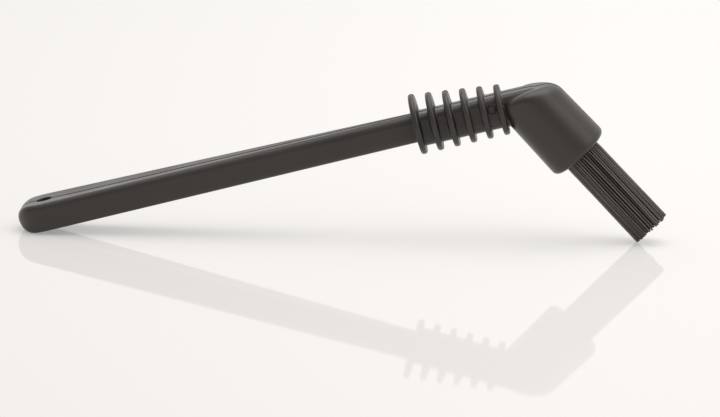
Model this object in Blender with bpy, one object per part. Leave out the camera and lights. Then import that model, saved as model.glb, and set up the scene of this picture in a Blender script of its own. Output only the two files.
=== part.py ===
"""Angled tuft brush: a long moulded handle with a hang hole, a ribbed neck, a bent round head and a
bundle of stiff tufts, each held in its hole by a flat wire anchor. Metres, +Z up, standing as it rests on
a table: on the underside of its tail and on the ends of its lowest tufts. The object is symmetric about
the XZ plane, with the head towards +X."""

import math

import bmesh
import bpy
from mathutils import Matrix, Vector

MM = 0.001

# Handle bar, in its own frame: x along the bar from the tail's end, y across, z out of its top face.
HANDLE_TILT = math.radians(14.5)  # slope of the bar when the brush rests on the table
HANDLE_T = 10.55 * MM  # thickness
HANDLE_Z = 4.45 * MM  # height of the bar's centre line at the tail's end
TAIL_W = 21.5 * MM  # width near the tail
NECK_END_W = 8.9 * MM  # width where the bar meets the neck
TAIL_NOSE = 10.9 * MM  # length of the tail's rounding, in plan
TAIL_BULL = 6.2 * MM  # length of the tail's rounding, seen from the side
TOP_EDGE_R = (2.0 * MM, 3.2 * MM)  # rounding of the top edges, at the tail and at the neck
LOW_EDGE_R = (2.0 * MM, 2.4 * MM)  # rounding of the lower edges
HOLE_X = 10.9 * MM  # hang hole, from the tail's end
HOLE_R = 3.0 * MM
HOLE_LIP = 0.2 * MM  # chamfer round each mouth of the hang hole

# Neck and its ribs, in the handle's frame.
NECK_X0 = 152.2 * MM
NECK_X1 = 203.0 * MM  # ends inside the head, its top face fading into the head's
NECK_W = 12.8 * MM
NECK_TOP = 5.35 * MM
NECK_LOW = -7.15 * MM
NECK_R = (2.4 * MM, 4.4 * MM)  # rounding of its top and lower edges
NECK_CHAMFER = 0.8 * MM
NECK_FADE = 6.0 * MM  # length over which the neck's end sinks into the head
NECK_SINK = 1.5 * MM
RIB_COUNT = 6
RIB_X = (153.15 * MM, 184.55 * MM)  # first and last rib
RIB_Z = (1.01 * MM, -0.79 * MM)  # height of their centres
RIB_R = (11.39 * MM, 9.59 * MM)
RIB_LEAN = math.radians(-0.85)  # their tops lean slightly towards the tail
RIB_T = 2.2 * MM
RIB_RIM_R = 0.6 * MM  # rounding of the rim
RIB_ROOT_T = 2.9 * MM  # thickness at the foot, where it blends into the neck
RIB_ROOT_R = 0.55  # radius of the foot, as a share of the rib's
RIB_ROOT_H = 1.6 * MM  # height of the blend

# Head: round about its own axis, which points down and away from the handle.
HEAD_TILT = math.radians(45.8)  # of the head's axis below the horizontal
MOUTH_X = 208.2 * MM  # centre of the mouth face, before the brush is set on the table
MOUTH_Z = 34.0 * MM
HEAD_L = 33.6 * MM
HEAD_R = (11.45 * MM, 12.05 * MM)  # at the back and at the mouth
HEAD_TOP = 4.95 * MM  # flat on top of the head, in the handle's frame, just under the neck's top face
HEAD_TOP_X = 190.0 * MM  # any point of that face
HEAD_EDGE_R = 3.2 * MM  # rounding between its side, back and top
MOUTH_EDGE_R = 2.1 * MM
HEAD_STEPS = 48  # points round each ring of the head's skin

# Tufts: one in the middle and two rings.
RINGS = ((1, 0.0), (6, 3.1 * MM), (12, 6.25 * MM))
TUFT_HOLE_R = 1.25 * MM
TUFT_HOLE_DEPTH = 9.0 * MM
HOLE_STEPS = 16  # facets round each hole
TUFT_GAP = 0.21 * MM  # between a tuft and the wall of its hole
TUFT_ROOT_R = TUFT_HOLE_R - TUFT_GAP
TUFT_FLARE = 2.4 * MM  # height above the mouth at which it has spread to its free radius
TUFT_ROUND = 0.25 * MM  # rounding of its two ends
TUFT_R = 1.38 * MM  # outside it
TUFT_L = 39.2 * MM  # free length
TUFT_FLUTE = 0.12  # depth of the flutes between the outer filaments, as a share of the radius
TUFT_SEAT = 0.3 * MM  # gap under the fold
FOOT = 0.12 * MM  # how far the lowest tufts give way on the table

# Anchors: flat wire, driven across each tuft's fold.
ANCHOR_END_GAP = 0.25 * MM  # from its ends to the wall of the hole
ANCHOR_W = 2 * (TUFT_HOLE_R - ANCHOR_END_GAP)
ANCHOR_H = 1.4 * MM
ANCHOR_T = 0.35 * MM
ANCHOR_GAP = 0.15 * MM
FOLD_T = 0.8 * MM  # of the tuft below its anchor

SMOOTH_BELOW = math.radians(35)  # edges sharper than this stay crisp


def clear_scene():
    for obj in list(bpy.data.objects):
        bpy.data.objects.remove(obj, do_unlink=True)


def plain_material(name, colour, roughness, metallic=0.0):
    material = bpy.data.materials.new(name)
    material.use_nodes = True
    shader = material.node_tree.nodes["Principled BSDF"]
    shader.inputs["Base Color"].default_value = (*colour, 1.0)
    shader.inputs["Roughness"].default_value = roughness
    shader.inputs["Metallic"].default_value = metallic
    return material


def new_object(name, verts, faces):
    mesh = bpy.data.meshes.new(name)
    mesh.from_pydata([tuple(v) for v in verts], [], faces)
    bm = bmesh.new()
    bm.from_mesh(mesh)
    bmesh.ops.recalc_face_normals(bm, faces=bm.faces)
    bm.to_mesh(mesh)
    bm.free()
    obj = bpy.data.objects.new(name, mesh)
    bpy.context.scene.collection.objects.link(obj)
    return obj


def loft(name, rings):
    """A closed body through rings of equally many points."""
    count = len(rings[0])
    verts = [p for ring in rings for p in ring]
    faces = [tuple(range(count)), tuple(range(len(verts) - count, len(verts)))]
    for i in range(len(rings) - 1):
        for j in range(count):
            k = (j + 1) % count
            a, b = i * count, (i + 1) * count
            faces.append((a + j, a + k, b + k, b + j))
    return new_object(name, verts, faces)


def section(x, half_w, top, low, r_top, r_low, steps=6):
    """A rounded rectangle across the handle at x."""
    tall = top - low
    r_top = min(r_top, half_w * 0.98, tall * 0.49)
    r_low = min(r_low, half_w * 0.98, tall * 0.49)
    corners = (
        (half_w - r_top, top - r_top, r_top, 0),
        (-half_w + r_top, top - r_top, r_top, 90),
        (-half_w + r_low, low + r_low, r_low, 180),
        (half_w - r_low, low + r_low, r_low, 270),
    )
    ring = []
    for y, z, r, start in corners:
        for i in range(steps + 1):
            angle = math.radians(start + 90 * i / steps)
            ring.append(Vector((x, y + r * math.cos(angle), z + r * math.sin(angle))))
    return ring


def mix(pair, t):
    return pair[0] + (pair[1] - pair[0]) * t


def handle_bar():
    rings = []
    stations = [TAIL_NOSE * (1 - math.cos(math.radians(a))) for a in (7, 16, 26, 37, 48, 60, 74, 90)]
    stations += [x * MM for x in (22, 40, 60, 80, 100, 120, 138, 160)]
    for x in stations:
        t = min(max((x - TAIL_NOSE) / (NECK_X0 - TAIL_NOSE), 0.0), 1.0)
        plan = math.sqrt(1 - (1 - min(x / TAIL_NOSE, 1.0)) ** 2)
        side = math.sqrt(1 - (1 - min(x / TAIL_BULL, 1.0)) ** 2)
        half_w = mix((TAIL_W / 2, NECK_END_W / 2), t) * plan
        half_t = HANDLE_T / 2 * side
        rings.append(section(x, half_w, half_t, -half_t, mix(TOP_EDGE_R, t), mix(LOW_EDGE_R, t)))
    return loft("handle", rings)


def neck_bar():
    rings = []
    for x, inset in (
        (NECK_X0, NECK_CHAMFER),
        (NECK_X0 + NECK_CHAMFER, 0.0),
        (NECK_X1 - NECK_FADE, 0.0),
        (NECK_X1, NECK_SINK),
    ):
        upper, lower = NECK_TOP - inset, NECK_LOW + inset
        rings.append(section(x, NECK_W / 2 - inset, upper, lower, NECK_R[0] - inset, NECK_R[1] - inset))
    return loft("neck", rings)


def revolve(name, profile, steps):
    """A closed body from (along, radius) pairs, about its local Z."""
    rings = []
    for along, radius in profile:
        ring = []
        for i in range(steps):
            angle = 2 * math.pi * i / steps
            ring.append(Vector((radius * math.cos(angle), radius * math.sin(angle), along)))
        rings.append(ring)
    return loft(name, rings)


def rib(index):
    t = index / (RIB_COUNT - 1)
    radius, half, root = mix(RIB_R, t), RIB_T / 2, RIB_ROOT_T / 2
    foot = RIB_ROOT_R * radius
    side = [(root, foot), (half, foot + RIB_ROOT_H)]
    rim = [
        (half * math.cos(math.radians(a)), radius - RIB_RIM_R * (1 - math.sin(math.radians(a))))
        for a in (0, 30, 60, 90, 120, 150, 180)
    ]
    profile = [*side, *rim, *((-x, r) for x, r in reversed(side))]
    body = revolve("rib", profile, 48)
    body.data.transform(Matrix.Rotation(math.radians(90) + RIB_LEAN, 4, "Y"))
    body.data.transform(Matrix.Translation((mix(RIB_X, t), 0, mix(RIB_Z, t))))
    return body


def apply_modifiers(obj):
    graph = bpy.context.evaluated_depsgraph_get()
    mesh = bpy.data.meshes.new_from_object(obj.evaluated_get(graph))
    obj.modifiers.clear()
    obj.data = mesh


def combine(obj, other, operation):
    modifier = obj.modifiers.new("combine", "BOOLEAN")
    modifier.operation = operation
    modifier.solver = "EXACT"
    modifier.object = other
    apply_modifiers(obj)
    bpy.data.objects.remove(other, do_unlink=True)


def head_frame():
    """Places local +Z along the head's axis, out of the mouth, with the origin at the mouth's centre."""
    return Matrix.Translation((MOUTH_X, 0, MOUTH_Z)) @ Matrix.Rotation(math.radians(90) + HEAD_TILT, 4, "Y")


def handle_frame():
    """Places the handle's own frame: its tail's end is at the origin of X."""
    return Matrix.Translation((0, 0, HANDLE_Z)) @ Matrix.Rotation(-HANDLE_TILT, 4, "Y")


def rounded(distances, radius):
    """Signed distance to what lies inside all the given faces, with every edge between them rounded."""
    near = [d + radius for d in distances]
    outside = math.sqrt(sum(max(d, 0.0) ** 2 for d in near))
    return outside + min(max(near), 0.0) - radius


def head_skin(top_point, top_normal):
    """Signed distance to the head in its own frame."""

    def skin(p):
        side = math.hypot(p.x, p.y) - mix(HEAD_R, (p.z + HEAD_L) / HEAD_L)
        top = (p - top_point).dot(top_normal)
        body = rounded((side, -HEAD_L - p.z, top), HEAD_EDGE_R)
        return rounded((body, p.z), MOUTH_EDGE_R)

    return skin


def head_body():
    to_head = head_frame().inverted() @ handle_frame()
    top_point = to_head @ Vector((HEAD_TOP_X, 0, HEAD_TOP))
    top_normal = (to_head.to_3x3() @ Vector((0, 0, 1))).normalized()
    skin = head_skin(top_point, top_normal)
    middle = Vector((0, 0, -HEAD_L / 2))
    back, mouth, flat = HEAD_R[0], HEAD_R[1], HEAD_R[1] - MOUTH_EDGE_R
    net = [(share * back, -HEAD_L) for share in (0.12, 0.35, 0.55, 0.7, 0.8, 0.88, 0.95, 1.0)]
    net += [(back, -share * HEAD_L) for share in (0.96, 0.91, 0.85, 0.77, 0.65, 0.5, 0.3, 0.16, 0.09)]
    net += [(mouth, share * HEAD_L) for share in (-0.055, -0.02)]
    net += [(share * mouth, 0) for share in (0.99, 0.94, 0.88, 0.82)]
    rings = []
    for radius, along in net:
        ring = []
        for i in range(HEAD_STEPS):
            turn = 2 * math.pi * i / HEAD_STEPS
            ray = Vector((radius * math.cos(turn), radius * math.sin(turn), along)) - middle
            low, high = 0.0, 1.2
            for _ in range(40):
                half = (low + high) / 2
                low, high = (half, high) if skin(middle + ray * half) < 0 else (low, half)
            ring.append(middle + ray * low)
        rings.append(ring)
    rings.append([Vector((p.x, p.y, 0)) * (flat / math.hypot(p.x, p.y)) for p in rings[-1]])
    return loft("head", rings)


def tuft_places():
    """Middles of the tuft holes on the mouth. Two of the outer ring are lowest, side by side."""
    places = []
    for count, radius in RINGS:
        first = 0.5 if count == RINGS[-1][0] else 0.0
        for i in range(count):
            turn = 2 * math.pi * (i + first) / count
            places.append((radius * math.cos(turn), radius * math.sin(turn)))
    return places


def hang_hole():
    """Cutter for the hole through the tail, with a chamfer round each mouth."""
    wide = HOLE_R + HANDLE_T / 2 + HOLE_LIP
    profile = [
        (-HANDLE_T, wide),
        (-HANDLE_T / 2 + HOLE_LIP, HOLE_R),
        (HANDLE_T / 2 - HOLE_LIP, HOLE_R),
        (HANDLE_T, wide),
    ]
    hole = revolve("hole", profile, 32)
    hole.data.transform(Matrix.Translation((HOLE_X, 0, 0)))
    return hole


def moulding():
    """Handle, neck, ribs and head, which are one piece of plastic."""
    bar = handle_bar()
    neck = neck_bar()
    for i in range(RIB_COUNT):
        combine(neck, rib(i), "UNION")
    combine(bar, neck, "UNION")
    combine(bar, hang_hole(), "DIFFERENCE")
    bar.data.transform(handle_frame())
    head = head_body()
    half_facet = Matrix.Rotation(math.pi / HOLE_STEPS, 4, "Z")  # keeps its corners off the head's own
    for x, y in tuft_places():
        drill = revolve("drill", [(-TUFT_HOLE_DEPTH, TUFT_HOLE_R), (TUFT_HOLE_R, TUFT_HOLE_R)], HOLE_STEPS)
        drill.data.transform(Matrix.Translation((x, y, 0)) @ half_facet)
        combine(head, drill, "DIFFERENCE")
    head.data.transform(head_frame())
    combine(bar, head, "UNION")
    return bar


def fluted(along, radius, steps=24):
    ring = []
    for i in range(steps):
        angle = 2 * math.pi * i / steps
        dip = TUFT_FLUTE * (1 - abs(math.cos(3 * angle)))
        ring.append(
            Vector((radius * (1 - dip) * math.cos(angle), radius * (1 - dip) * math.sin(angle), along))
        )
    return ring


def tuft(name, x, y):
    bottom = -TUFT_HOLE_DEPTH + TUFT_SEAT
    body = loft(
        name,
        [
            fluted(bottom, TUFT_ROOT_R - TUFT_ROUND),
            fluted(bottom + TUFT_ROUND, TUFT_ROOT_R),
            fluted(TUFT_ROUND, TUFT_ROOT_R),
            fluted(TUFT_FLARE, TUFT_R),
            fluted(TUFT_L - TUFT_ROUND, TUFT_R),
            fluted(TUFT_L, TUFT_R - TUFT_ROUND),
        ],
    )
    slot_t, slot_h = ANCHOR_T + 2 * ANCHOR_GAP, ANCHOR_H + 2 * ANCHOR_GAP
    slot = box("slot", slot_t, 4 * TUFT_HOLE_R, slot_h)
    slot.data.transform(Matrix.Translation((0, 0, bottom + FOLD_T + slot_h / 2)))
    combine(body, slot, "DIFFERENCE")
    body.data.transform(head_frame() @ Matrix.Translation((x, y, 0)))
    return body


def box(name, size_x, size_y, size_z):
    half = (size_x / 2, size_y / 2, size_z / 2)
    signs = ((sx, sy, sz) for sx in (-1, 1) for sy in (-1, 1) for sz in (-1, 1))
    verts = [tuple(sign * side for sign, side in zip(corner, half)) for corner in signs]
    faces = [(0, 1, 3, 2), (4, 6, 7, 5), (0, 4, 5, 1), (2, 3, 7, 6), (0, 2, 6, 4), (1, 5, 7, 3)]
    return new_object(name, verts, faces)


def anchor(name, x, y):
    wire = box(name, ANCHOR_T, ANCHOR_W, ANCHOR_H)
    lift = -TUFT_HOLE_DEPTH + TUFT_SEAT + FOLD_T + ANCHOR_GAP + ANCHOR_H / 2
    wire.data.transform(head_frame() @ Matrix.Translation((x, y, lift)))
    return wire


def lowest(obj):
    return min((v.co for v in obj.data.vertices), key=lambda point: point.z)


def move(pieces, matrix):
    for obj in pieces:
        obj.data.transform(matrix)


def set_on_table(handle, tufts, pieces):
    """The tail touches the table, and so do the lowest tufts, which give way by FOOT."""
    move(pieces, Matrix.Translation((0, 0, -lowest(handle).z)))
    tips = min((lowest(obj) for obj in tufts), key=lambda point: point.z)
    turn = math.asin((tips.z + FOOT) / (tips.x - lowest(handle).x))
    move(pieces, Matrix.Rotation(turn, 4, "Y"))
    xs = [v.co.x for obj in pieces for v in obj.data.vertices]
    move(pieces, Matrix.Translation((-(min(xs) + max(xs)) / 2, 0, -lowest(handle).z)))
    for obj in tufts:
        for vertex in obj.data.vertices:
            vertex.co.z = max(vertex.co.z, 0.0)


def main():
    clear_scene()
    handle = moulding()
    tufts, anchors = [], []
    for i, (x, y) in enumerate(tuft_places()):
        tufts.append(tuft(f"tuft_{i + 1:02d}", x, y))
        anchors.append(anchor(f"anchor_{i + 1:02d}", x, y))
    pieces = [handle, *tufts, *anchors]

    set_on_table(handle, tufts, pieces)

    plastic = plain_material("black_plastic", (0.035, 0.032, 0.030), 0.42)
    handle.data.materials.clear()
    handle.data.materials.append(plastic)
    for obj in tufts:
        obj.data.materials.clear()
        obj.data.materials.append(plain_material(obj.name, (0.05, 0.045, 0.042), 0.5))
    for obj in anchors:
        obj.data.materials.clear()
        obj.data.materials.append(plain_material(obj.name, (0.62, 0.46, 0.18), 0.35, 1.0))
    for obj in pieces:
        obj.data.shade_smooth()
        obj.data.set_sharp_from_angle(angle=SMOOTH_BELOW)


main()
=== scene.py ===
"""Looks of the angled tuft brush: the moulding with its fillets, parting line and grain, every filament of the
tufts, the anchors' wire, and a pale studio. Metres, in the row's frame."""

import math
import random

import bmesh
import bpy
from mathutils import Matrix, Vector


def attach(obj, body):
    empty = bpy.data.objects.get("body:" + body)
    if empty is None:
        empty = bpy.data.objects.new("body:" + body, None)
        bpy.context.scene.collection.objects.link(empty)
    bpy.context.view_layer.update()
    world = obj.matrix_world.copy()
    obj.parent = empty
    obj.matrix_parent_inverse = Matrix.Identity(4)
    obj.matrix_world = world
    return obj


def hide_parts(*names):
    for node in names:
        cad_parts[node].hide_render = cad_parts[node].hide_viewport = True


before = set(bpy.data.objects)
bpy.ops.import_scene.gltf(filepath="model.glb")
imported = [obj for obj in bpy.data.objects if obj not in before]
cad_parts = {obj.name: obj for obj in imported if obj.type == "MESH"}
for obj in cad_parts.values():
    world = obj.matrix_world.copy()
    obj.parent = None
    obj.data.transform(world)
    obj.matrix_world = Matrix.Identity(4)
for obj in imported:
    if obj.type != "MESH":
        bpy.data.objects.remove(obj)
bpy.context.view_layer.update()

MM = 0.001

# Handle bar, in its own frame: x along the bar from the tail's end, y across, z out of its top face.
HANDLE_TILT = math.radians(14.5)
HANDLE_T = 10.55 * MM
HANDLE_Z = 4.45 * MM
TAIL_W = 21.5 * MM
NECK_END_W = 8.9 * MM
TAIL_NOSE = 10.9 * MM
TAIL_BULL = 6.2 * MM
TOP_EDGE_R = (2.0 * MM, 3.2 * MM)
LOW_EDGE_R = (2.0 * MM, 2.4 * MM)
TOP_DISH = (0.5 * MM, 0.15 * MM)  # sink of the top face along its middle, at the tail and at the neck
DISH_STEPS = 8  # points across half of it
HOLE_X = 10.9 * MM
HOLE_R = 3.0 * MM
HOLE_LIP = 0.2 * MM

# Neck and ribs, in the handle's frame.
NECK_X0 = 152.2 * MM
NECK_X1 = 203.0 * MM
NECK_W = 12.8 * MM
NECK_TOP = 5.35 * MM
NECK_LOW = -7.15 * MM
NECK_R = (2.4 * MM, 4.4 * MM)  # rounding of its top and lower edges
NECK_CHAMFER = 0.8 * MM
NECK_FADE = 6.0 * MM
NECK_SINK = 1.5 * MM
RIB_COUNT = 6
RIB_X = (153.15 * MM, 184.55 * MM)
RIB_Z = (1.01 * MM, -0.79 * MM)
RIB_R = (11.39 * MM, 9.59 * MM)
RIB_LEAN = math.radians(-0.85)
RIB_T = 2.2 * MM
RIB_RIM_R = 0.6 * MM
RIB_ROOT_T = 2.9 * MM
RIB_ROOT_R = 0.55
RIB_ROOT_H = 1.6 * MM

# Head, about its own axis.
HEAD_TILT = math.radians(45.8)
MOUTH_X = 208.2 * MM
MOUTH_Z = 34.0 * MM
HEAD_L = 33.6 * MM
HEAD_R = (11.45 * MM, 12.05 * MM)
HEAD_TOP = 4.95 * MM
HEAD_TOP_X = 190.0 * MM
HEAD_EDGE_R = 3.2 * MM
MOUTH_EDGE_R = 2.1 * MM
HEAD_STEPS = 96  # points round each ring of the head's skin

# Round mark of the mould's gate, on the near side of the neck.
GATE_X = 181.2 * MM
GATE_Z = 1.2 * MM
GATE_R = 1.75 * MM
GATE_DEPTH = 0.7 * MM
GATE_RIM = 0.3 * MM  # width of its edge
GATE_FLOOR = 0.25  # depth of its middle, as a share of the edge's

# Skin of the moulding.
VOXEL = 0.24 * MM
SMOOTH_STEPS = 4
SEAM_HALF = 0.62 * MM  # half the width of the parting line
SEAM_DEPTH = 0.8 * MM
SEAM_CUTS = (-1.25, -1.0, -0.75, -0.4, 0.0, 0.4, 0.75, 1.0, 1.25)  # edges across it, in half widths
SEAM_WALL = 0.25  # of its half width
SEAM_TAIL = 0.2  # share of its depth at the tail's end

# Tufts and their filaments.
RINGS = ((1, 0.0), (6, 3.1 * MM), (12, 6.25 * MM))
TUFT_HOLE_R = 1.25 * MM
MOUTH_HOLE_R = 1.45 * MM  # where each hole opens out at the mouth
MOUTH_HOLE_DEPTH = 0.7 * MM
TUFT_HOLE_DEPTH = 9.0 * MM
TUFT_L = 39.2 * MM
PAIRS = 5  # folded filaments in each tuft
FILAMENT_R = 0.34 * MM
FOLD_R = 0.24 * MM  # pressed flat round the anchor
FOLD_DEPTH = 1.4 * MM
BUNDLE_R = 7.05 * MM  # to the outer filaments' middles
BUNDLE_SHIFT = -0.16 * MM  # of the free ends, towards the top
RING_STEP = 0.95 * MM
MOUTH_SPREAD = 0.88  # of the way to its own place, at the mouth
FOLD_SPREAD = 0.45  # at the fold, as a share of that
SPREAD_L = 2.6 * MM  # height above the mouth at which it reaches that place
LEG_STEPS = 22
WAVE = 0.16 * MM
WAVE_TURN = 4.4  # radians of the wave from the mouth to the free end
STRAY = 0.14 * MM
NARROW_L = 1.5 * MM  # length below the mouth over which a filament narrows to its fold
TUBE_SIDES = 10
FOLD_STEPS = 6
TABLE_SLIDE = 0.8  # how far a lifted end slides, as a share of its lift
TIP_JAG = (0.3 * MM, 1.0 * MM)
TIP_HOLLOW = 0.5 * MM
TIP_BROWN = 2.0 * MM  # length of the browner ends

# Colours, as linear values.
PLASTIC_COLOURS = ((0.056, 0.044, 0.0385, 1), (0.075, 0.0585, 0.051, 1))
PLASTIC_SHEEN = 0.5  # scales the plastic's colour and specular level
GROOVE_PAINTED_SHADE = 0.06  # the same in the parting line, cut there as painted shade in its groove
FILAMENT_COLOURS = ((0.006, 0.005, 0.0044, 1), (0.17, 0.142, 0.124, 1))
TIP_COLOUR = (0.05, 0.030, 0.022, 1)
WIRE_COLOURS = ((0.52, 0.36, 0.12, 1), (0.72, 0.54, 0.24, 1))
FLOOR_COLOUR = (0.45, 0.44, 0.43, 1)
# Painted light: the floor glows, more so to the right, and this lifts the shadows on it.
FLOOR_PAINTED_GLOW = (1.0, 0.975, 0.952, 1)
LAMP_COLOUR = (1.0, 0.985, 0.97)

# Softboxes: name, place, side, power.
LAMPS = (
    ("top_softbox", (0.15, 0.1, 1.1), 1.0, 6.0),
    ("side_softbox", (0.85, -0.45, 0.75), 0.7, 1.6),
)
LAMP_AIM = Vector((0, 0, 0.03))

# Camera: turned about the vertical, tipped down and rolled, in degrees, then its distance, lens and aim.
CAM_YAW = 2.0
CAM_PITCH = 12.5
CAM_ROLL = 0.81
CAM_FAR = 1.486
CAM_LENS = 200
CAM_AIM = Vector((0.00687, 0.0, 0.01042))


def mix(pair, t):
    return pair[0] + (pair[1] - pair[0]) * t


def part_frames():
    """The head's and the handle's own frames, as the part's source first sets them."""
    head = Matrix.Translation((MOUTH_X, 0, MOUTH_Z)) @ Matrix.Rotation(math.radians(90) + HEAD_TILT, 4, "Y")
    handle = Matrix.Translation((0, 0, HANDLE_Z)) @ Matrix.Rotation(-HANDLE_TILT, 4, "Y")
    return head, handle


def free_end(node):
    """The middle of a CAD tuft's free end, and the direction in which the tuft points."""
    points = [v.co.copy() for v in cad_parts[node].data.vertices]
    low, high = min(points, key=lambda p: p.x - p.z), max(points, key=lambda p: p.x - p.z)
    along = (high - low).normalized()
    near = 0.1 * MM
    for _ in range(4):
        reach = [p.dot(along) for p in points]
        first = [p for p, r in zip(points, reach) if r < min(reach) + near]
        last = [p for p, r in zip(points, reach) if r > max(reach) - near]
        end = sum(last, Vector()) / len(last)
        along = (end - sum(first, Vector()) / len(first)).normalized()
    return end, along


def placed_frames():
    """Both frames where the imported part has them: the middle tuft tells how it was set on the table."""
    head, handle = part_frames()
    end, along = free_end("tuft_01")
    tilt = math.atan2(along.x, along.z)
    placed = Matrix.Translation(end - along * TUFT_L) @ Matrix.Rotation(tilt, 4, "Y")
    return placed, placed @ head.inverted() @ handle


HEAD, HANDLE = placed_frames()


def new_object(name, verts, faces):
    mesh = bpy.data.meshes.new(name)
    mesh.from_pydata([tuple(v) for v in verts], [], faces)
    bm = bmesh.new()
    bm.from_mesh(mesh)
    bmesh.ops.recalc_face_normals(bm, faces=bm.faces)
    bm.to_mesh(mesh)
    bm.free()
    mesh.shade_smooth()
    obj = bpy.data.objects.new(name, mesh)
    bpy.context.scene.collection.objects.link(obj)
    return obj


def loft(name, rings):
    """A closed body through rings of equally many points."""
    count = len(rings[0])
    verts = [p for ring in rings for p in ring]
    faces = [tuple(range(count)), tuple(range(len(verts) - count, len(verts)))]
    for i in range(len(rings) - 1):
        for j in range(count):
            k = (j + 1) % count
            a, b = i * count, (i + 1) * count
            faces.append((a + j, a + k, b + k, b + j))
    return new_object(name, verts, faces)


def section(x, half_w, top, low, r_top, r_low, dish=0.0, steps=10):
    """A rounded rectangle across the handle at x, with its top face sunk by dish along the middle."""
    tall = top - low
    r_top = min(r_top, half_w * 0.98, tall * 0.49)
    r_low = min(r_low, half_w * 0.98, tall * 0.49)
    corners = (
        (half_w - r_top, top - r_top, r_top, 0),
        (-half_w + r_top, top - r_top, r_top, 90),
        (-half_w + r_low, low + r_low, r_low, 180),
        (half_w - r_low, low + r_low, r_low, 270),
    )
    ring = []
    for y, z, r, start in corners:
        for i in range(steps + 1):
            angle = math.radians(start + 90 * i / steps)
            ring.append(Vector((x, y + r * math.cos(angle), z + r * math.sin(angle))))
        if start == 0:
            flat = half_w - r_top
            for i in range(1, 2 * DISH_STEPS):
                across = 1 - i / DISH_STEPS
                ring.append(Vector((x, flat * across, top - dish * (1 - abs(across)) ** 0.8)))
    return ring


def handle_bar():
    """The handle, tapering from the tail to the neck, with rounded ends and a dished top."""
    rings = []
    stations = [TAIL_NOSE * (1 - math.cos(math.radians(a))) for a in range(4, 91, 4)]
    stations += [(12 + 4 * i) * MM for i in range(37)]
    for x in stations:
        t = min(max((x - TAIL_NOSE) / (NECK_X0 - TAIL_NOSE), 0.0), 1.0)
        plan = math.sqrt(1 - (1 - min(x / TAIL_NOSE, 1.0)) ** 2)
        side = math.sqrt(1 - (1 - min(x / TAIL_BULL, 1.0)) ** 2)
        half_w = mix((TAIL_W / 2, NECK_END_W / 2), t) * plan
        half_t = HANDLE_T / 2 * side
        dish = mix(TOP_DISH, t) * min(x / (2 * TAIL_NOSE), 1.0)
        rings.append(section(x, half_w, half_t, -half_t, mix(TOP_EDGE_R, t), mix(LOW_EDGE_R, t), dish))
    return loft("bar", rings)


def neck_bar():
    rings = []
    for x, inset in (
        (NECK_X0, NECK_CHAMFER),
        (NECK_X0 + 0.3 * NECK_CHAMFER, 0.3 * NECK_CHAMFER),
        (NECK_X0 + NECK_CHAMFER, 0.0),
        (NECK_X1 - NECK_FADE, 0.0),
        (NECK_X1, NECK_SINK),
    ):
        upper, lower = NECK_TOP - inset, NECK_LOW + inset
        rings.append(section(x, NECK_W / 2 - inset, upper, lower, NECK_R[0] - inset, NECK_R[1] - inset))
    return loft("neck", rings)


def revolve(name, profile, steps):
    """A closed body from (along, radius) pairs, about its local Z."""
    rings = []
    for along, radius in profile:
        ring = []
        for i in range(steps):
            angle = 2 * math.pi * (i + 0.5) / steps
            ring.append(Vector((radius * math.cos(angle), radius * math.sin(angle), along)))
        rings.append(ring)
    return loft(name, rings)


def rib(index):
    t = index / (RIB_COUNT - 1)
    radius, half, root = mix(RIB_R, t), RIB_T / 2, RIB_ROOT_T / 2
    foot = RIB_ROOT_R * radius
    side = [(root, foot), (half, foot + RIB_ROOT_H)]
    rim = [
        (half * math.cos(math.radians(a)), radius - RIB_RIM_R * (1 - math.sin(math.radians(a))))
        for a in range(0, 181, 15)
    ]
    profile = [*side, *rim, *((-x, r) for x, r in reversed(side))]
    body = revolve("rib", profile, 128)
    body.data.transform(Matrix.Rotation(math.radians(90) + RIB_LEAN, 4, "Y"))
    body.data.transform(Matrix.Translation((mix(RIB_X, t), 0, mix(RIB_Z, t))))
    return body


def rounded(distances, radius):
    """Signed distance to what lies inside all the given faces, with every edge between them rounded."""
    near = [d + radius for d in distances]
    outside = math.sqrt(sum(max(d, 0.0) ** 2 for d in near))
    return outside + min(max(near), 0.0) - radius


def head_skin(top_point, top_normal):
    """Signed distance to the head in its own frame."""

    def skin(p):
        side = math.hypot(p.x, p.y) - mix(HEAD_R, (p.z + HEAD_L) / HEAD_L)
        top = (p - top_point).dot(top_normal)
        body = rounded((side, -HEAD_L - p.z, top), HEAD_EDGE_R)
        return rounded((body, p.z), MOUTH_EDGE_R)

    return skin


def head_body():
    to_head = HEAD.inverted() @ HANDLE
    top_point = to_head @ Vector((HEAD_TOP_X, 0, HEAD_TOP))
    top_normal = (to_head.to_3x3() @ Vector((0, 0, 1))).normalized()
    skin = head_skin(top_point, top_normal)
    middle = Vector((0, 0, -HEAD_L / 2))
    back, mouth = HEAD_R
    net = [(share * back / 16, -HEAD_L) for share in range(1, 17)]
    net += [(back, -HEAD_L * (1 - share / 30)) for share in range(1, 30)]
    net += [(mouth, -HEAD_L * 0.015)]
    net += [(share * mouth / 32, 0) for share in range(32, 24, -1)]
    rings = []
    for radius, along in net:
        ring = []
        for i in range(HEAD_STEPS):
            turn = 2 * math.pi * i / HEAD_STEPS
            ray = Vector((radius * math.cos(turn), radius * math.sin(turn), along)) - middle
            low, high = 0.0, 1.2
            for _ in range(24):
                half = (low + high) / 2
                low, high = (half, high) if skin(middle + ray * half) < 0 else (low, half)
            ring.append(middle + ray * low)
        rings.append(ring)
    return loft("head", rings)


def apply_modifiers(obj):
    graph = bpy.context.evaluated_depsgraph_get()
    mesh = bpy.data.meshes.new_from_object(obj.evaluated_get(graph))
    obj.modifiers.clear()
    obj.data = mesh


def combine(obj, other, operation):
    modifier = obj.modifiers.new("combine", "BOOLEAN")
    modifier.operation = operation
    modifier.solver = "EXACT"
    modifier.object = other
    apply_modifiers(obj)
    bpy.data.objects.remove(other, do_unlink=True)


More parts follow.
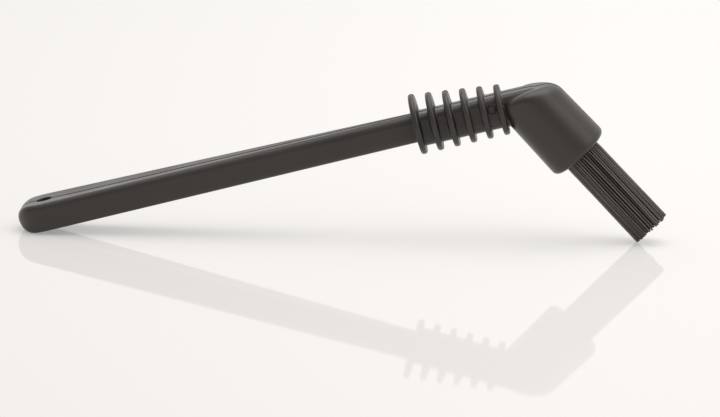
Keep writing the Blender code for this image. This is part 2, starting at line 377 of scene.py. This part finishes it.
def tuft_places():
    """Middles of the tuft holes on the mouth. Two of the outer ring are lowest, side by side."""
    places = []
    for count, radius in RINGS:
        first = 0.5 if count == RINGS[-1][0] else 0.0
        for i in range(count):
            turn = 2 * math.pi * (i + first) / count
            places.append((radius * math.cos(turn), radius * math.sin(turn)))
    return places


def join(objs):
    """One object that holds the meshes of all of them."""
    bm = bmesh.new()
    for obj in objs:
        bm.from_mesh(obj.data)
    mesh = bpy.data.meshes.new("joined")
    bm.to_mesh(mesh)
    bm.free()
    first = objs[0]
    first.data = mesh
    for obj in objs[1:]:
        bpy.data.objects.remove(obj, do_unlink=True)
    return first


def beside_openings(point):
    """True next to the hang hole and on the mouth and in its holes, where the parting line stops."""
    on_bar, on_head = HANDLE.inverted() @ point, HEAD.inverted() @ point
    if math.hypot(on_bar.x - HOLE_X, on_bar.y) < HOLE_R + 0.4 * MM:
        return True
    in_holes = on_head.z > -10 * MM and math.hypot(on_head.x, on_head.y) < 8 * MM
    return on_head.z > -0.5 * MM or in_holes


def carve_seam(obj):
    """A parting line wherever the skin crosses the plane of symmetry."""
    bm = bmesh.new()
    bm.from_mesh(obj.data)
    for share in SEAM_CUTS:
        near = [f for f in bm.faces if abs(f.calc_center_median().y) < 2 * VOXEL + 2 * SEAM_HALF]
        edges = {e for f in near for e in f.edges}
        verts = {v for f in near for v in f.verts}
        place = (0, share * SEAM_HALF, 0)
        bmesh.ops.bisect_plane(
            bm, geom=near + list(edges) + list(verts), plane_co=place, plane_no=(0, 1, 0), dist=1e-6
        )
    bm.normal_update()
    to_bar = HANDLE.inverted()
    for v in bm.verts:
        across = abs(v.co.y) / SEAM_HALF
        along = Vector((v.normal.x, 0, v.normal.z))
        if across >= 1.0 or along.length <= 0.5 or beside_openings(v.co):
            continue
        fade = min(max((to_bar @ v.co).x / TAIL_NOSE, SEAM_TAIL), 1.0)
        deep = min((1.0 - across) / SEAM_WALL, 1.0) * fade
        v.co -= along.normalized() * SEAM_DEPTH * deep
    bm.to_mesh(obj.data)
    bm.free()


def press_gate(obj):
    """The round mark of the mould's gate, pressed into the near side of the neck."""
    to_handle = HANDLE.inverted()
    for v in obj.data.vertices:
        place = to_handle @ v.co
        away = math.hypot(place.x - GATE_X, place.z - GATE_Z)
        if away < GATE_R + GATE_RIM and place.y < -0.3 * NECK_W:
            share = min(max((GATE_R - away) / GATE_RIM + 0.5, 0.0), 1.0)
            rim = max(1 - abs(away - GATE_R + GATE_RIM / 2) / GATE_RIM, 0.0)
            v.co.y += GATE_DEPTH * (GATE_FLOOR * share + (1 - GATE_FLOOR) * rim)


def hang_hole():
    """Cutter for the hole through the tail, with a chamfer round each mouth."""
    wide = HOLE_R + HANDLE_T / 2 + HOLE_LIP
    profile = [
        (-HANDLE_T, wide),
        (-HANDLE_T / 2 + HOLE_LIP, HOLE_R),
        (HANDLE_T / 2 - HOLE_LIP, HOLE_R),
        (HANDLE_T, wide),
    ]
    hole = revolve("hole", profile, 64)
    hole.data.transform(Matrix.Translation((HOLE_X, 0, 0)))
    return hole


def moulding():
    """Handle, neck, ribs and head as one skin, with soft inner corners and the marks of its mould."""
    bar = handle_bar()
    combine(bar, hang_hole(), "DIFFERENCE")
    neck = neck_bar()
    parts = [bar, neck, *(rib(i) for i in range(RIB_COUNT))]
    for part in parts:
        part.data.transform(HANDLE)
    head = head_body()
    for x, y in tuft_places():
        profile = [
            (-TUFT_HOLE_DEPTH, TUFT_HOLE_R),
            (-MOUTH_HOLE_DEPTH, TUFT_HOLE_R),
            (0.05 * MM, MOUTH_HOLE_R),
            (1.0 * MM, MOUTH_HOLE_R),
        ]
        drill = revolve("drill", profile, 32)
        drill.data.transform(Matrix.Translation((x, y, 0)))
        combine(head, drill, "DIFFERENCE")
    head.data.transform(HEAD)
    body = join([*parts, head])
    remesh = body.modifiers.new("skin", "REMESH")
    remesh.mode = "VOXEL"
    remesh.voxel_size = VOXEL
    remesh.use_smooth_shade = True
    smooth = body.modifiers.new("soften", "SMOOTH")
    smooth.factor = 0.5
    smooth.iterations = SMOOTH_STEPS
    apply_modifiers(body)
    press_gate(body)
    carve_seam(body)
    for v in body.data.vertices:
        v.co.z = max(v.co.z, 0.0)
    body.data.shade_smooth()
    body.name = "brush_moulding"
    return body


def turn_of(point, start):
    """The point's angle about the middle, counted from a direction the given angle before X."""
    x, y = point
    sine, cosine = math.sin(start), math.cos(start)
    return math.atan2(x * sine + y * cosine, x * cosine - y * sine) % (2 * math.pi)


def filament_tips():
    """Where the free ends stand, in rings over the whole bundle, shared out by sector to the tufts."""
    total = len(tuft_places()) * PAIRS * 2
    rings = int(BUNDLE_R / RING_STEP) + 1
    radii = [BUNDLE_R - k * RING_STEP for k in range(rings)]
    share = total / sum(radii)
    points = []
    for k, radius in enumerate(radii):
        count = round(share * radius) if k < rings - 1 else total - len(points)
        for i in range(count):
            turn = 2 * math.pi * (i + 0.5 * (k % 2)) / count
            points.append((radius * math.cos(turn), radius * math.sin(turn)))
    shares = []
    ends = PAIRS * 2
    used = 0
    for count, _ in RINGS:
        group = points[total - used - count * ends : total - used]
        used += len(group)
        start = 0.0 if count == RINGS[-1][0] else math.pi / count
        ordered = sorted(group, key=lambda p: turn_of(p, start))
        shares += [ordered[i * ends : (i + 1) * ends] for i in range(count)]
    return shares


def spread(z):
    """How far a filament is on its way from the fold to its own place in the bundle, 0 to 1."""
    if z < 0:
        up = max(1 + z / (TUFT_HOLE_DEPTH - FOLD_DEPTH), 0.0)
        return MOUTH_SPREAD * mix((FOLD_SPREAD, 1.0), up)
    t = min(z / SPREAD_L, 1.0)
    return mix((MOUTH_SPREAD, 1.0), t * t * (3 - 2 * t))


def leg(hole, tip, rng):
    """Points from the fold up through the hole to a free end, in the head's frame, with the radius at each."""
    wave = [rng.uniform(-WAVE, WAVE) for _ in range(2)]
    stray = [rng.uniform(-STRAY, STRAY) for _ in range(2)]
    phase = rng.uniform(0, 2 * math.pi)
    near = 1 - min(abs(tip[0]) / BUNDLE_R, 1.0) ** 2
    length = TUFT_L - rng.uniform(*TIP_JAG) - TIP_HOLLOW * near
    start = -TUFT_HOLE_DEPTH + FOLD_DEPTH
    points = []
    for k in range(LEG_STEPS + 1):
        z = start + (length - start) * k / LEG_STEPS
        share, free = spread(z), max(z / length, 0.0)
        bend = math.sin(WAVE_TURN * free + phase) * free
        x = hole[0] + (tip[0] + BUNDLE_SHIFT - hole[0]) * share + wave[0] * bend + stray[0] * free
        y = hole[1] + (tip[1] - hole[1]) * share + wave[1] * bend + stray[1] * free
        narrow = min(max(1 + z / NARROW_L, 0.0), 1.0)
        points.append((Vector((x, y, z)), mix((FOLD_R, FILAMENT_R), narrow)))
    return points


def tube(points, sides=TUBE_SIDES):
    """Vertices and faces of a closed tube through (middle, radius) points."""
    verts, faces, normal = [], [], None
    for i, (p, radius) in enumerate(points):
        ahead = (points[min(i + 1, len(points) - 1)][0] - points[max(i - 1, 0)][0]).normalized()
        normal = normal or ahead.orthogonal()
        normal = (normal - ahead * normal.dot(ahead)).normalized()
        side = ahead.cross(normal)
        for k in range(sides):
            turn = 2 * math.pi * k / sides
            verts.append(p + (normal * math.cos(turn) + side * math.sin(turn)) * radius)
    for i in range(len(points) - 1):
        for j in range(sides):
            k = (j + 1) % sides
            a, b = i * sides, (i + 1) * sides
            faces.append((a + j, a + k, b + k, b + j))
    faces.append(tuple(reversed(range(sides))))
    faces.append(tuple(range(len(verts) - sides, len(verts))))
    return verts, faces


def on_table(points):
    """Bends what would reach under the table along its top, away from the handle."""
    placed = []
    slide = 0.0
    for p, radius in points:
        world = HEAD @ p
        lift = max(radius - world.z, 0.0)
        slide = max(slide, lift * TABLE_SLIDE)
        placed.append((world + Vector((slide, 0, lift)), radius))
    return placed


def filament_piece(index, hole, tips, rng):
    """One tuft: filaments folded at the bottom of the hole, each a closed tube with two free ends."""
    verts, faces = [], []
    for n in range(PAIRS):
        first, last = leg(hole, tips[n], rng), leg(hole, tips[n + PAIRS], rng)
        a, b = first[0][0], last[0][0]
        fold = []
        for k in range(1, FOLD_STEPS):
            turn = math.pi * k / FOLD_STEPS
            middle = a.lerp(b, 0.5 - 0.5 * math.cos(turn))
            fold.append((middle - Vector((0, 0, (FOLD_DEPTH - 2 * FOLD_R) * math.sin(turn))), FOLD_R))
        whole = on_table(first[::-1]) + [(HEAD @ p, r) for p, r in fold] + on_table(last)
        tube_verts, tube_faces = tube(whole)
        base = len(verts)
        verts += tube_verts
        faces += [tuple(base + i for i in face) for face in tube_faces]
    piece = new_object(f"filaments_{index:02d}", verts, faces)
    piece.data.set_sharp_from_angle(angle=math.radians(50))
    return piece


def new_material(name):
    material = bpy.data.materials.new(name)
    material.use_nodes = True
    tree = material.node_tree
    return material, tree, tree.nodes["Principled BSDF"]


def add(tree, kind, **values):
    """A new node, with its inputs' values given by their names, in lower case and with _ for a space."""
    node = tree.nodes.new(kind)
    for name, value in values.items():
        node.inputs[name.replace("_", " ").title()].default_value = value
    return node


def link(tree, a, b):
    tree.links.new(a, b)


def ranged(tree, source, low, high, to_low=0.0, to_high=1.0):
    """The source, mapped from low and high to to_low and to_high."""
    node = add(tree, "ShaderNodeMapRange", from_min=low, from_max=high, to_min=to_low, to_max=to_high)
    link(tree, source, node.inputs["Value"])
    return node.outputs["Result"]


def noise(tree, vector, scale, detail):
    node = add(tree, "ShaderNodeTexNoise", scale=scale, detail=detail)
    link(tree, vector, node.inputs["Vector"])
    return node.outputs["Fac"]


def ramp(tree, source, colours, low=0.0, high=1.0):
    """A colour between the two given, as the source runs from low to high."""
    node = tree.nodes.new("ShaderNodeValToRGB")
    first, last = node.color_ramp.elements
    first.position, first.color = low, colours[0]
    last.position, last.color = high, colours[1]
    link(tree, source, node.inputs["Fac"])
    return node.outputs["Color"]


def plastic_material():
    """Satin moulded plastic with a fine grain, and painted shade in the parting line, where its colour and
    specular level drop.
    """
    material, tree, shader = new_material("black_moulded_plastic")
    place = tree.nodes.new("ShaderNodeTexCoord").outputs["Object"]
    split = tree.nodes.new("ShaderNodeSeparateXYZ")
    link(tree, place, split.inputs["Vector"])
    across = tree.nodes.new("ShaderNodeMath")
    across.operation = "ABSOLUTE"
    link(tree, split.outputs["Y"], across.inputs[0])
    # Painted shade in the parting line: colour and specular level fall towards the groove's middle.
    seam_painted_shade = ranged(
        tree, across.outputs["Value"], 0.5 * SEAM_HALF, SEAM_HALF, GROOVE_PAINTED_SHADE, PLASTIC_SHEEN
    )
    broad = noise(tree, place, 38, 6)
    shade = tree.nodes.new("ShaderNodeVectorMath")
    shade.operation = "SCALE"
    link(tree, ramp(tree, broad, PLASTIC_COLOURS, 0.3, 0.75), shade.inputs[0])
    link(tree, seam_painted_shade, shade.inputs["Scale"])
    link(tree, shade.outputs["Vector"], shader.inputs["Base Color"])
    link(tree, seam_painted_shade, shader.inputs["Specular IOR Level"])
    link(tree, ranged(tree, broad, 0.3, 0.7, 0.3, 0.42), shader.inputs["Roughness"])
    bump = add(tree, "ShaderNodeBump", strength=0.25, distance=0.08 * MM)
    link(tree, noise(tree, place, 3200, 3), bump.inputs["Height"])
    link(tree, bump.outputs["Normal"], shader.inputs["Normal"])
    return material


def filament_material():
    """Each filament has its own shade, from noise stretched along the head's axis, and a browner cut end."""
    material, tree, shader = new_material("stiff_filament")
    place = tree.nodes.new("ShaderNodeTexCoord").outputs["Object"]
    to_head = HEAD.inverted()
    turned = add(tree, "ShaderNodeMapping", rotation=to_head.to_euler())
    link(tree, place, turned.inputs["Vector"])
    stretch = add(tree, "ShaderNodeMapping", scale=(1100, 1100, 14))
    link(tree, turned.outputs["Vector"], stretch.inputs["Vector"])
    colour = ramp(tree, noise(tree, stretch.outputs["Vector"], 1.0, 2), FILAMENT_COLOURS, 0.36, 0.66)
    along = tree.nodes.new("ShaderNodeSeparateXYZ")
    link(tree, turned.outputs["Vector"], along.inputs["Vector"])
    reach = (to_head.to_3x3() @ HEAD.translation).z + TUFT_L
    tip = ranged(tree, along.outputs["Z"], reach - TIP_BROWN, reach)
    tinted = tree.nodes.new("ShaderNodeMix")
    tinted.data_type = "RGBA"
    inputs = {i.name: i for i in tinted.inputs if i.type == "RGBA"}
    inputs["B"].default_value = TIP_COLOUR
    link(tree, tip, tinted.inputs["Factor"])
    link(tree, colour, inputs["A"])
    result = next(o for o in tinted.outputs if o.type == "RGBA")
    link(tree, result, shader.inputs["Base Color"])
    shader.inputs["Roughness"].default_value = 0.34
    shader.inputs["IOR"].default_value = 1.48
    return material


def anchor_material():
    """Drawn flat brass wire, with fine lines from the die."""
    material, tree, shader = new_material("drawn_brass_wire")
    place = tree.nodes.new("ShaderNodeTexCoord").outputs["Object"]
    stretch = add(tree, "ShaderNodeMapping", scale=(400, 6000, 400))
    link(tree, place, stretch.inputs["Vector"])
    colour = ramp(tree, noise(tree, stretch.outputs["Vector"], 1.0, 2), WIRE_COLOURS)
    link(tree, colour, shader.inputs["Base Color"])
    shader.inputs["Metallic"].default_value = 1.0
    shader.inputs["Roughness"].default_value = 0.32
    return material


def floor_material():
    """Glossy white sheet that glows with painted light, more so to the right, which lifts the shadows cast on
    it.
    """
    material, tree, shader = new_material("studio_floor")
    shader.inputs["Base Color"].default_value = FLOOR_COLOUR
    shader.inputs["Emission Color"].default_value = FLOOR_PAINTED_GLOW
    split = tree.nodes.new("ShaderNodeSeparateXYZ")
    link(tree, tree.nodes.new("ShaderNodeTexCoord").outputs["Object"], split.inputs["Vector"])
    # Painted light, stronger to the right.
    painted_glow = ranged(tree, split.outputs["X"], -0.2, 0.1, 0.275, 0.345)
    link(tree, painted_glow, shader.inputs["Emission Strength"])
    shader.inputs["Roughness"].default_value = 0.035
    shader.inputs["IOR"].default_value = 1.13
    return material


def studio():
    """The floor, a room that is brighter behind the brush than in front, and two softboxes."""
    bpy.ops.mesh.primitive_plane_add(size=12, location=(0, 0, 0))
    floor = bpy.context.object
    floor.name = "studio_floor"
    floor.data.materials.append(floor_material())
    world = bpy.data.worlds.new("studio")
    bpy.context.scene.world = world
    world.use_nodes = True
    tree = world.node_tree
    toward = tree.nodes.new("ShaderNodeVectorMath")
    toward.operation = "DOT_PRODUCT"
    toward.inputs[1].default_value = (0.45, 0.85, 0.25)
    link(tree, tree.nodes.new("ShaderNodeTexCoord").outputs["Generated"], toward.inputs[0])
    back = tree.nodes["Background"]
    back.inputs["Color"].default_value = (*LAMP_COLOUR, 1)
    link(tree, ranged(tree, toward.outputs["Value"], -0.9, 0.7, 0.36, 1.05), back.inputs["Strength"])
    for name, place, size, energy in LAMPS:
        light = bpy.data.lights.new(name, "AREA")
        light.energy = energy
        light.shape = "SQUARE"
        light.size = size
        light.color = LAMP_COLOUR
        obj = bpy.data.objects.new(name, light)
        obj.location = place
        obj.rotation_mode = "QUATERNION"
        obj.rotation_quaternion = (LAMP_AIM - Vector(place)).to_track_quat("-Z", "Y")
        bpy.context.scene.collection.objects.link(obj)


def camera():
    data = bpy.data.cameras.new("camera")
    data.lens = CAM_LENS
    data.sensor_width = 36
    data.clip_start, data.clip_end = 0.05, 50
    cam = bpy.data.objects.new("camera", data)
    yaw, pitch = math.radians(CAM_YAW), math.radians(CAM_PITCH)
    back = Vector((math.sin(yaw) * math.cos(pitch), -math.cos(yaw) * math.cos(pitch), math.sin(pitch)))
    cam.rotation_mode = "QUATERNION"
    look = (-back).to_track_quat("-Z", "Y")
    cam.rotation_quaternion = look @ Matrix.Rotation(math.radians(CAM_ROLL), 4, "Z").to_quaternion()
    cam.location = CAM_AIM + back * CAM_FAR
    bpy.context.scene.collection.objects.link(cam)
    bpy.context.scene.camera = cam


def dress(obj, material, slot, *nodes):
    """Gives a piece its material and body, and hides the CAD nodes that it stands for. The slot is not used.
    """
    obj.data.materials.clear()
    obj.data.materials.append(material)
    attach(obj, "root")
    if nodes:
        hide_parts(*nodes)


def main():
    bpy.context.scene.view_settings.view_transform = "Standard"
    camera()
    studio()
    dress(moulding(), plastic_material(), "handle", "handle")
    rng = random.Random(11)
    filament = filament_material()
    for i, (hole, tips) in enumerate(zip(tuft_places(), filament_tips())):
        dress(filament_piece(i + 1, hole, tips, rng), filament, "filament", f"tuft_{i + 1:02d}")
    wire = anchor_material()
    for name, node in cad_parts.items():
        if name.startswith("anchor"):
            node.data.materials.clear()
            node.data.materials.append(wire)


main()
